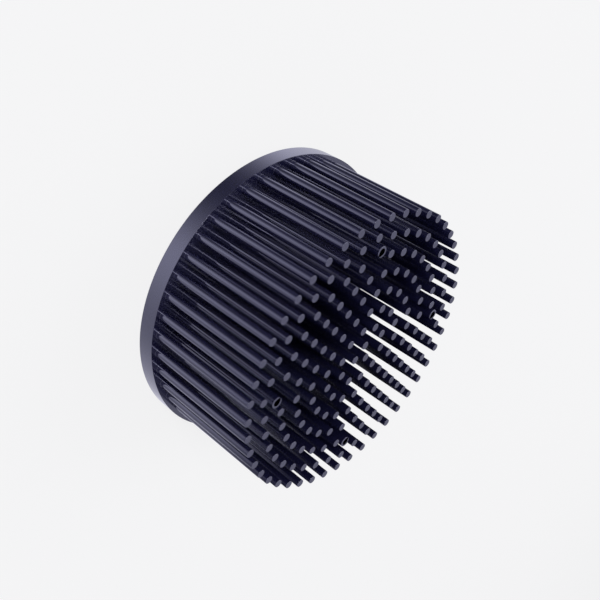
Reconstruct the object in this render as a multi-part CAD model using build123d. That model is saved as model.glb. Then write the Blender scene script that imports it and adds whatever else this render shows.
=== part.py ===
from build123d import *
import math
import os

# A round pin fin heat sink: one forged piece of black anodised aluminium, standing on its base.
# Millimetres, +Z up. The origin is the centre of the base's underside.
# +X is the direction in which every ring of pins starts.

# Round base
base_d = 155.0
base_t = 9.0
base_edge = 0.2

# The whole height, from the underside to the tips
overall_h = 70.0

# Pins, with the small draft that lets a forged pin leave its die
pin_tip_d = 4.1
pin_root_d = 4.5

# Each pin is a prism of this many sides with a round pin's section area
pin_sides = 12

# Rings of pins: each ring's count from the centre out, and the rim left outside the last ring's centres
ring_counts = (3, 10, 16, 22, 28, 34, 39, 46)
rim_w = 4.375
first_ring_share = 0.5
ring_step = (base_d / 2 - rim_w) / (len(ring_counts) - first_ring_share)

# Four screw posts at the corners of a square: hollow, and split down the side that faces the X axis
post_spacing = 80.0
post_d = 5.6
post_bore_d = 2.9
post_slot_w = 1.2
post_bearings = (45, 135, 225, 315)

# A pin this near to a screw post is left out
post_clear = 6.0

# A pin in this wider room, outside the circle of the posts, stands further out
post_room = 8.0
step_out = 1.55


def at(radius, bearing):
    """The place at a radius and a bearing from +X."""
    turn = math.radians(bearing)
    return radius * math.cos(turn), radius * math.sin(turn)


def pin_places():
    """Centres of the pins, ring by ring."""
    post_radius = post_spacing / math.sqrt(2)
    posts = [at(post_radius, bearing) for bearing in post_bearings]
    places = []
    for ring, count in enumerate(ring_counts):
        for n in range(count):
            radius = ring_step * (ring + first_ring_share)
            bearing = 360 * n / count
            to_post = min(math.dist(at(radius, bearing), post) for post in posts)
            if to_post < post_clear:
                continue
            if to_post < post_room and radius > post_radius:
                radius += step_out
            places.append(at(radius, bearing))
    return places


def base():
    """The round base, its sharp edges broken."""
    disc = Cylinder(base_d / 2, base_t, align=(Align.CENTER, Align.CENTER, Align.MIN))
    rims = disc.edges().filter_by(GeomType.CIRCLE)
    return chamfer(rims, base_edge)


def pin():
    """One pin on the base's top face."""
    sector = 2 * math.pi / pin_sides
    to_corners = math.sqrt(sector / math.sin(sector))
    root = Plane.XY.offset(base_t) * RegularPolygon(pin_root_d / 2 * to_corners, pin_sides)
    tip = Plane.XY.offset(overall_h) * RegularPolygon(pin_tip_d / 2 * to_corners, pin_sides)
    return loft([root, tip], ruled=True)


def post():
    """One screw post on the base's top face, its slot towards -Y."""
    ring = Circle(post_d / 2) - Circle(post_bore_d / 2)
    slot = Pos(0, -post_d / 2) * Rectangle(post_slot_w, post_d)
    return Pos(0, 0, base_t) * extrude(ring - slot, overall_h - base_t)


def heat_sink():
    """The base with all its pins and posts, as one solid."""
    one_pin = pin()
    pieces = [Pos(x, y) * one_pin for x, y in pin_places()]
    one_post = post()
    half = post_spacing / 2
    for x in (-half, half):
        pieces.append(Pos(x, half) * one_post)
        pieces.append(Pos(x, -half) * Rot(0, 0, 180) * one_post)
    return base().fuse(*pieces)


os.makedirs("parts", exist_ok=True)
export_step(heat_sink(), "parts/heat_sink.step")
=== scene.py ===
import math

import bmesh
import bpy
from mathutils import Matrix, Vector
from mathutils.geometry import delaunay_2d_cdt


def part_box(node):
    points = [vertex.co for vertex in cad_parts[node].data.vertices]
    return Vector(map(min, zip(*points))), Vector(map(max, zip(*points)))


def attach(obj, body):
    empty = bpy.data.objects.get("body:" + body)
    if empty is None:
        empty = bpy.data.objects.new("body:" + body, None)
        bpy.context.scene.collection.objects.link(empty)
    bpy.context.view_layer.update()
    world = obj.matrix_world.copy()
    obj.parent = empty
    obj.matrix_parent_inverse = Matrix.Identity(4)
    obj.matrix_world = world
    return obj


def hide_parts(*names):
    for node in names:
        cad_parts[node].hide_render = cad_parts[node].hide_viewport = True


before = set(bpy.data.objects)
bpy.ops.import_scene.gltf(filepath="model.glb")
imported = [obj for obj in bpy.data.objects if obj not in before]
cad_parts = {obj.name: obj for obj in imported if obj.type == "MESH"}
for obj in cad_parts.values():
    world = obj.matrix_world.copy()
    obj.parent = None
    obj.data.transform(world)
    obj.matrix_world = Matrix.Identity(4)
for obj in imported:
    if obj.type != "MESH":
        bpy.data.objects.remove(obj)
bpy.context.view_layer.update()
_, far_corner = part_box("heat_sink")

# Sizes in metres. The base's radius and the whole height come from the heat sink part in model.glb.
MM = 0.001
BASE_R = far_corner.x
TOP = far_corner.z
BASE_T = 9.0 * MM
BASE_EDGE = 0.05 * MM
RIM_W = 4.375 * MM

# Pins: root and tip radius, the blend into the base and the broken edge of the tip
PIN_ROOT_R = 2.25 * MM
PIN_TIP_R = 2.05 * MM
ROOT_BLEND = 0.10 * MM
TIP_EDGE = 0.12 * MM

# How far in from its wall a tip's worn border reaches
TIP_BORDER = TIP_EDGE * 3

# Rings of pins, each ring's count from the centre out
RING_COUNTS = (3, 10, 16, 22, 28, 34, 39, 46)
FIRST_RING_SHARE = 0.5
RING_STEP = (BASE_R - RIM_W) / (len(RING_COUNTS) - FIRST_RING_SHARE)

# Split hollow screw posts on a square, the circle through them, and the room that the pins leave them
POST_SPACING = 80.0 * MM
POST_CIRCLE = POST_SPACING / math.sqrt(2)
POST_R = 2.8 * MM
POST_BORE_R = 1.45 * MM
POST_SLOT = 1.2 * MM
POST_BEARINGS = (45, 135, 225, 315)
POST_CLEAR = 6.0 * MM
POST_ROOM = 8.0 * MM
STEP_OUT = 1.55 * MM

# How finely round forms are drawn
PIN_SIDES = 32
POST_SIDES = 40
BASE_SIDES = 288
CORNER_STEPS = 3

# A short straight band beside each rounded corner, which keeps the shading of a long wall true
HOLD = 0.2 * MM

# Edges sharper than this angle, in degrees, break the shading
SHARP_ANGLE = 50

# Faces whose normal is this nearly upright are level, and are shaded flat
LEVEL = 0.9999

# Points of the base's top face that are closer than this, in metres, are one
SAME_POINT = 1e-7

# How worn the metal is at the start of a tip's edge and on the edge itself, kept with each point
WEAR_LAYER = "edge_wear"
EDGE_START_WEAR = 0.6
EDGE_WEAR = 1.0

# Camera: its place, what it looks at, its roll, its lens on a 36 mm sensor, and how near it still sees
CAMERA_PLACE = Vector((-0.3429, -0.0203, 0.2452))
CAMERA_AIM = Vector((-0.0180, 0.0045, 0.0350))
CAMERA_ROLL = math.radians(122.75)
CAMERA_LENS = 48.38
CAMERA_NEAR = 0.01
SENSOR = 36.0

# The anodised film's power to mirror, its tint low on the walls, a darker tint at the tips that is
# painted shade dimming the walls' reflections there, and the height from which the first turns into
# the second
FILM_IOR = 2.4
GLOSS_LOW = (0.78, 0.78, 0.96, 1)
TIP_GLOSS_PAINTED_SHADE = (0.56, 0.56, 0.70, 1)
PAINTED_SHADE_START = BASE_T * 2

# The dye's two shades, and the worn edges
DYE_DEEP = (0.007, 0.007, 0.026, 1)
DYE_PALE = (0.011, 0.011, 0.036, 1)
WORN = (0.06, 0.06, 0.09, 1)

# Roughness: the walls' least and most, and the level faces'
WALL_ROUGH = (0.06, 0.12)
FACE_ROUGH = 0.15

# The upright share of a face's normal where it begins to count as level, and where it does in full
FACE_START = 0.5
FACE_FULL = 0.9

# Noises, each with its scale and detail, and how much the streaks are drawn out along the pins
STREAKS = (900, 3)
CLOUD = (60, 2)
GRAIN = (5200, 2)
DRAWN_OUT = (1.0, 1.0, 0.06)

# Bumps, each with its strength and height
GRAIN_BUMP = (0.1, 0.003 * MM)
STREAK_BUMP = (0.05, 0.01 * MM)

# Floor: colour, finish, reach in metres, and how much of what the camera sees is its own even colour
PALE = (0.93, 0.93, 0.93, 1)
FLOOR_ROUGH = 0.9
FLOOR_SHINE = 0.1
FLOOR_REACH = 12.0
FLOOR_SIDES = 96
FLOOR_GLOW = 0.87

# How bright the surround is to the camera, which makes it one with the far floor
BACKDROP = 0.87

# The surround that the metal mirrors. Low down it is a bright band round the part with one dark gap.
# Each glow has a bearing from +X, a spread to where it ends, in degrees, and the light that it adds.
OVERHEAD = 0.55
COOL = (0.94, 0.94, 1.08, 1)
NEUTRAL = (1, 1, 1, 1)
BAND = 0.62
GLOWS = ((68, 55, 0.74), (198, 55, 0.42), (325, 70, 0.40))
GAP_BEARING = 134
GAP_SPREAD = 62
GAP_LEVEL = 0.16

# Heights are the upward share of the way out. These are the band's full and dark ends, and the start
# and end of the rise to the light overhead.
BAND_FULL = -0.53
BAND_DARK = -0.42
RISE_START = -0.44
RISE_END = -0.28

# Round two bearings the band falls off earlier. Each has a bearing and a spread in degrees, the share
# of the light that is lost, and the heights at which the loss starts and is whole.
LOSSES = ((96, 60, 0.85, -0.63, -0.54), (245, 45, 0.22, -0.655, -0.62))

# Soft lamps, each with its name, place, width and height in metres, and power in watts
LAMPS = (
    ("key", (-1.39, 0.35, 1.25), 0.35, 1.5, 12),
    ("fill", (0.8, 0.9, 1.1), 1.1, 1.1, 6),
)


# Places

def at(radius, bearing):
    """The place at a radius and a bearing from +X, in degrees."""
    turn = math.radians(bearing)
    return Vector((radius * math.cos(turn), radius * math.sin(turn)))


def pin_places():
    """Centres of the pins, ring by ring."""
    posts = [at(POST_CIRCLE, bearing) for bearing in POST_BEARINGS]
    places = []
    for ring, count in enumerate(RING_COUNTS):
        for n in range(count):
            radius = RING_STEP * (ring + FIRST_RING_SHARE)
            bearing = 360 * n / count
            to_post = min((at(radius, bearing) - post).length for post in posts)
            if to_post < POST_CLEAR:
                continue
            if to_post < POST_ROOM and radius > POST_CIRCLE:
                radius += STEP_OUT
            places.append(at(radius, bearing))
    return places


# Sections, each a closed run of points about its own centre, with the way out of the metal at each

def round_section(radius, sides):
    """A circle."""
    outs = [at(1, 360 * n / sides) for n in range(sides)]
    return [(out * radius, out) for out in outs]


def post_section(facing):
    """A split ring, its slot towards +Y or -Y as facing is 1 or -1."""
    half = POST_SLOT / 2
    outer_gap = math.degrees(math.asin(half / POST_R))
    inner_gap = math.degrees(math.asin(half / POST_BORE_R))
    slot_way = 90 * facing
    section = []
    for n in range(POST_SIDES + 1):
        bearing = slot_way + outer_gap + (360 - 2 * outer_gap) * n / POST_SIDES
        section.append([at(POST_R, bearing), at(1, bearing)])
    for n in range(POST_SIDES + 1):
        bearing = slot_way - inner_gap - (360 - 2 * inner_gap) * n / POST_SIDES
        section.append([at(POST_BORE_R, bearing), -at(1, bearing)])
    # At the slot's four corners the way out also leans into the slot
    into_slot = Vector((1, 0))
    for corner in (0, POST_SIDES, POST_SIDES + 1, -1):
        place, out = section[corner]
        section[corner][1] = out + (into_slot if place.x < 0 else -into_slot)
    return section


def corner_levels(radius):
    """Points of a quarter round, as (along the wall, off the wall) from the wall's end to the face."""
    turns = [math.pi / 2 * n / CORNER_STEPS for n in range(1, CORNER_STEPS + 1)]
    return [(radius * math.sin(turn), radius * (1 - math.cos(turn))) for turn in turns]


# The forging as one closed mesh

def lay_loop(bm, section, centre, z, outset, wear=0.0):
    """One loop of points of a section at a height, moved outwards from the metal."""
    wear_layer = bm.verts.layers.float[WEAR_LAYER]
    loop = []
    for place, out in section:
        spot = centre + place + out * outset
        vert = bm.verts.new((spot.x, spot.y, z))
        vert[wear_layer] = wear
        loop.append(vert)
    return loop


def join_loops(bm, loops):
    """Walls between successive loops."""
    for below, above in zip(loops, loops[1:]):
        for n, vert in enumerate(below):
            after = (n + 1) % len(below)
            bm.faces.new((vert, below[after], above[after], above[n]))


def raise_stem(bm, section, centre, draft):
    """A pin or post with a blended root and a broken tip edge. Returns its root loop."""
    root = BASE_T + ROOT_BLEND
    tip = TOP - TIP_EDGE
    levels = [(root - along, off, 0.0) for along, off in reversed(corner_levels(ROOT_BLEND))]
    levels += [(root, 0.0, 0.0), (root + HOLD, 0.0, 0.0)]
    levels += [(tip - HOLD, -draft, 0.0), (tip, -draft, EDGE_START_WEAR)]
    levels += [(tip + along, -draft - off, EDGE_WEAR) for along, off in corner_levels(TIP_EDGE)]
    levels.append((TOP, -draft - TIP_BORDER, 0.0))
    loops = [lay_loop(bm, section, centre, z, outset, wear) for z, outset, wear in levels]
    join_loops(bm, loops)
    bm.faces.new(loops[-1])
    return loops[0]


def turn_base(bm):
    """The base's underside and rim. Returns the loop where its top face starts."""
    section = round_section(BASE_R, BASE_SIDES)
    centre = Vector((0, 0))
    upper = BASE_T - BASE_EDGE
    levels = [(BASE_EDGE - along, off) for along, off in reversed(corner_levels(BASE_EDGE))]
    levels += [(BASE_EDGE, 0.0), (BASE_EDGE + HOLD, 0.0)]
    levels += [(upper - HOLD, 0.0), (upper, 0.0)]
    levels += [(upper + along, off) for along, off in corner_levels(BASE_EDGE)]
    loops = [lay_loop(bm, section, centre, z, -off) for z, off in levels]
    join_loops(bm, loops)
    bm.faces.new(reversed(loops[0]))
    return loops[-1]


def in_metal(spot, stems):
    """Whether a place on the base's top face is under a pin or inside a post's wall."""
    for centre, reach, bore, facing in stems:
        away = spot - centre
        if away.length > reach:
            continue
        if bore == 0:
            return True
        in_slot = abs(away.x) < POST_SLOT / 2 and away.y * facing > 0
        return away.length > bore and not in_slot
    return False


def close_top(bm, outline, root_loops, stems):
    """The base's top face between its rim and every root, as triangles on the loops' own points."""
    verts = list(outline)
    edges = [(n, (n + 1) % len(outline)) for n in range(len(outline))]
    for loop in root_loops:
        start = len(verts)
        verts += loop
        edges += [(start + n, start + (n + 1) % len(loop)) for n in range(len(loop))]
    flat = [Vector((vert.co.x, vert.co.y)) for vert in verts]
    points, _, faces, sources, _, _ = delaunay_2d_cdt(flat, edges, [], 0, SAME_POINT)
    for face in faces:
        middle = sum((points[n] for n in face), Vector((0, 0))) / len(face)
        if not in_metal(middle, stems):
            bm.faces.new([verts[sources[n][0]] for n in face])


def forging():
    """The base, pins and posts as one mesh object."""
    bm = bmesh.new()
    bm.verts.layers.float.new(WEAR_LAYER)
    outline = turn_base(bm)
    root_loops = []
    stems = []
    pin_section = round_section(PIN_ROOT_R, PIN_SIDES)
    for centre in pin_places():
        root_loops.append(raise_stem(bm, pin_section, centre, PIN_ROOT_R - PIN_TIP_R))
        stems.append((centre, PIN_ROOT_R + ROOT_BLEND, 0.0, 0))
    for bearing in POST_BEARINGS:
        centre = at(POST_CIRCLE, bearing)
        facing = -1 if centre.y > 0 else 1
        root_loops.append(raise_stem(bm, post_section(facing), centre, 0.0))
        stems.append((centre, POST_R + ROOT_BLEND, POST_BORE_R - ROOT_BLEND, facing))
    close_top(bm, outline, root_loops, stems)
    bmesh.ops.recalc_face_normals(bm, faces=bm.faces)
    mesh = bpy.data.meshes.new("heat_sink_forging")
    bm.to_mesh(mesh)
    bm.free()
    # This makes every face smooth, and the level ones are then set flat again
    mesh.set_sharp_from_angle(angle=math.radians(SHARP_ANGLE))
    for face in mesh.polygons:
        face.use_smooth = abs(face.normal.z) < LEVEL
    piece = bpy.data.objects.new("heat_sink_forging", mesh)
    bpy.context.collection.objects.link(piece)
    return piece


# Materials and the world, from nodes

class Tree:
    """A node tree. Each call adds a node and returns its output, and takes outputs or plain values."""

    def __init__(self, tree):
        self.nodes = tree.nodes
        self.links = tree.links

    def feed(self, socket, value):
        """Link a socket to an output, or set it to a value."""
        if isinstance(value, bpy.types.NodeSocket):
            self.links.new(value, socket)
        else:
            socket.default_value = value

    def output(self, kind, name):
        """One output of a node that needs nothing set."""
        return self.nodes.new(kind).outputs[name]

    def part(self, vector, axis):
        """The X, Y or Z part of a vector."""
        node = self.nodes.new("ShaderNodeSeparateXYZ")
        self.links.new(vector, node.inputs["Vector"])
        return node.outputs[axis]

    def maths(self, operation, *values, clamp=False):
        """One sum. Clamped, it stays between 0 and 1."""
        node = self.nodes.new("ShaderNodeMath")
        node.operation = operation
        node.use_clamp = clamp
        for socket, value in zip(node.inputs, values):
            self.feed(socket, value)
        return node.outputs["Value"]

    def span(self, value, start, end, low, high, smooth=False):
        """Low where a value is at the start and before it, and high from the end on."""
        node = self.nodes.new("ShaderNodeMapRange")
        if smooth:
            node.interpolation_type = "SMOOTHSTEP"
        self.feed(node.inputs["Value"], value)
        names = ("From Min", "From Max", "To Min", "To Max")
        for name, number in zip(names, (start, end, low, high)):
            node.inputs[name].default_value = number
        return node.outputs["Result"]

    def mix(self, kind, factor, first, second):
        """A blend of two numbers (FLOAT) or colours (RGBA)."""
        node = self.nodes.new("ShaderNodeMix")
        node.data_type = kind
        self.feed(node.inputs["Factor"], factor)
        self.feed(node.inputs["A"], first)
        self.feed(node.inputs["B"], second)
        return node.outputs["Result"]

    def noise(self, vector, scale, detail):
        """A soft noise between 0 and 1."""
        node = self.nodes.new("ShaderNodeTexNoise")
        node.inputs["Scale"].default_value = scale
        node.inputs["Detail"].default_value = detail
        self.links.new(vector, node.inputs["Vector"])
        return node.outputs["Fac"]

    def bump(self, height, strength, distance):
        """A bump node, whose Normal input is free for another bump's normal."""
        node = self.nodes.new("ShaderNodeBump")
        node.inputs["Strength"].default_value = strength
        node.inputs["Distance"].default_value = distance
        self.links.new(height, node.inputs["Height"])
        return node


def new_material(name):
    """An empty node material with its tree, Principled shader and output."""
    material = bpy.data.materials.new(name)
    material.use_nodes = True
    material.node_tree.nodes.clear()
    tree = Tree(material.node_tree)
    output = tree.nodes.new("ShaderNodeOutputMaterial")
    shader = tree.nodes.new("ShaderNodeBsdfPrincipled")
    tree.links.new(shader.outputs["BSDF"], output.inputs["Surface"])
    return material, tree, shader, output


def black_anodised():
    """Black anodised aluminium: a glossy film over navy-black dye, fine grain, worn edges, and painted
    shade that darkens the walls' reflections towards the tips.
    """
    material, tree, shader, _ = new_material("black_anodised")
    shader.inputs["IOR"].default_value = FILM_IOR
    place = tree.nodes.new("ShaderNodeTexCoord")

    # Faint streaks along the pins, from the die
    along = tree.nodes.new("ShaderNodeMapping")
    along.inputs["Scale"].default_value = DRAWN_OUT
    tree.links.new(place.outputs["Object"], along.inputs["Vector"])
    streaks = tree.noise(along.outputs["Vector"], *STREAKS)

    # Slow cloudiness of the dye, and the fine grain of the etched surface
    cloud = tree.noise(place.outputs["Object"], *CLOUD)
    grain = tree.noise(place.outputs["Object"], *GRAIN)

    dye = tree.mix("RGBA", cloud, DYE_DEEP, DYE_PALE)
    wear = tree.nodes.new("ShaderNodeAttribute")
    wear.attribute_name = WEAR_LAYER
    rubbed = tree.maths("MULTIPLY", wear.outputs["Fac"], cloud)
    tree.feed(shader.inputs["Base Color"], tree.mix("RGBA", rubbed, dye, WORN))

    # Level faces that look up
    flat = tree.span(tree.part(place.outputs["Normal"], "Z"), FACE_START, FACE_FULL, 0, 1)

    # Painted shade: the walls' mirror tint darkens towards the tips, so their reflections dim with
    # height. Level faces keep the full tint.
    height = tree.span(tree.part(place.outputs["Object"], "Z"), PAINTED_SHADE_START, TOP, 0, 1)
    painted_tip_shade = tree.maths("SUBTRACT", height, flat, clamp=True)
    tree.feed(shader.inputs["Specular Tint"], tree.mix("RGBA", painted_tip_shade, GLOSS_LOW, TIP_GLOSS_PAINTED_SHADE))

    # The walls are smooth, and the level faces are rougher
    rough = tree.span(streaks, 0, 1, *WALL_ROUGH)
    tree.feed(shader.inputs["Roughness"], tree.mix("FLOAT", flat, rough, FACE_ROUGH))

    fine = tree.bump(grain, *GRAIN_BUMP)
    drawn = tree.bump(streaks, *STREAK_BUMP)
    tree.links.new(fine.outputs["Normal"], drawn.inputs["Normal"])
    tree.links.new(drawn.outputs["Normal"], shader.inputs["Normal"])
    return material


def pale_floor():
    """A matt pale floor that the camera sees close to its own colour, with the shadow kept."""
    material, tree, shader, output = new_material("pale_floor")
    shader.inputs["Base Color"].default_value = PALE
    shader.inputs["Roughness"].default_value = FLOOR_ROUGH
    shader.inputs["Specular IOR Level"].default_value = FLOOR_SHINE
    glow = tree.nodes.new("ShaderNodeEmission")
    glow.inputs["Color"].default_value = PALE
    path = tree.nodes.new("ShaderNodeLightPath")
    seen = tree.maths("MAXIMUM", path.outputs["Is Camera Ray"], path.outputs["Is Transmission Ray"])
    both = tree.nodes.new("ShaderNodeMixShader")
    tree.feed(both.inputs["Fac"], tree.maths("MULTIPLY", seen, FLOOR_GLOW))
    tree.links.new(shader.outputs["BSDF"], both.inputs[1])
    tree.links.new(glow.outputs["Emission"], both.inputs[2])
    tree.links.new(both.outputs["Shader"], output.inputs["Surface"])
    return material


# Stage

def lay_floor():
    """A round floor, wide enough to fill every view. The metal mirrors the surround in its stead."""
    bm = bmesh.new()
    bmesh.ops.create_circle(bm, cap_ends=True, segments=FLOOR_SIDES, radius=FLOOR_REACH)
    mesh = bpy.data.meshes.new("floor")
    bm.to_mesh(mesh)
    bm.free()
    floor = bpy.data.objects.new("floor", mesh)
    floor.data.materials.append(pale_floor())
    floor.visible_glossy = False
    bpy.context.collection.objects.link(floor)


def light_world():
    """A soft studio surround, level overhead and brighter and darker by bearing low down."""
    world = bpy.data.worlds.new("studio")
    world.use_nodes = True
    tree = Tree(world.node_tree)
    background = tree.nodes["Background"]

    way = tree.output("ShaderNodeTexCoord", "Generated")
    height = tree.part(way, "Z")
    bearing = tree.maths("ARCTAN2", tree.part(way, "Y"), tree.part(way, "X"))

    def near(middle, spread, inside, outside):
        """One value at a bearing, and another from the spread outwards."""
        off = tree.maths("SUBTRACT", bearing, math.radians(middle))
        off = tree.maths("ARCCOSINE", tree.maths("COSINE", off))
        return tree.span(off, 0, math.radians(spread), inside, outside, smooth=True)

    band = BAND
    for middle, spread, added in GLOWS:
        band = tree.maths("ADD", band, near(middle, spread, added, 0))
    band = tree.maths("MULTIPLY", band, near(GAP_BEARING, GAP_SPREAD, GAP_LEVEL, 1))
    fall = tree.span(height, BAND_FULL, BAND_DARK, 1, 0, smooth=True)
    band = tree.maths("MULTIPLY", band, fall)
    for middle, spread, lost, start, end in LOSSES:
        higher = tree.span(height, start, end, 0, 1, smooth=True)
        loss = tree.maths("MULTIPLY", near(middle, spread, lost, 0), higher)
        band = tree.maths("MULTIPLY", band, tree.maths("SUBTRACT", 1, loss))

    rise = tree.span(height, RISE_START, RISE_END, 0, 1, smooth=True)
    mirrored = tree.mix("FLOAT", rise, band, OVERHEAD)
    to_camera = tree.output("ShaderNodeLightPath", "Is Camera Ray")
    tree.feed(background.inputs["Strength"], tree.mix("FLOAT", to_camera, mirrored, BACKDROP))
    tree.feed(background.inputs["Color"], tree.mix("RGBA", to_camera, COOL, NEUTRAL))
    bpy.context.scene.world = world


def hang_lamp(name, place, width, height, power):
    """A soft lamp that faces the part."""
    lamp = bpy.data.lights.new(name, "AREA")
    lamp.shape = "RECTANGLE"
    lamp.size = width
    lamp.size_y = height
    lamp.energy = power
    holder = bpy.data.objects.new(name, lamp)
    holder.location = place
    holder.rotation_euler = (-Vector(place)).to_track_quat("-Z", "Y").to_euler()
    bpy.context.collection.objects.link(holder)


def set_camera():
    """The photograph's view."""
    camera = bpy.data.cameras.new("camera")
    camera.sensor_width = SENSOR
    camera.lens = CAMERA_LENS
    camera.clip_start = CAMERA_NEAR
    holder = bpy.data.objects.new("camera", camera)
    facing = (CAMERA_AIM - CAMERA_PLACE).to_track_quat("-Z", "Y").to_matrix().to_4x4()
    roll = Matrix.Rotation(CAMERA_ROLL, 4, "Z")
    holder.matrix_world = Matrix.Translation(CAMERA_PLACE) @ facing @ roll
    bpy.context.collection.objects.link(holder)
    bpy.context.scene.camera = holder


body = forging()
body.data.materials.append(black_anodised())
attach(body, "root")
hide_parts("heat_sink")

lay_floor()
light_world()
for lamp in LAMPS:
    hang_lamp(*lamp)
set_camera()
bpy.context.scene.view_settings.view_transform = "Standard"
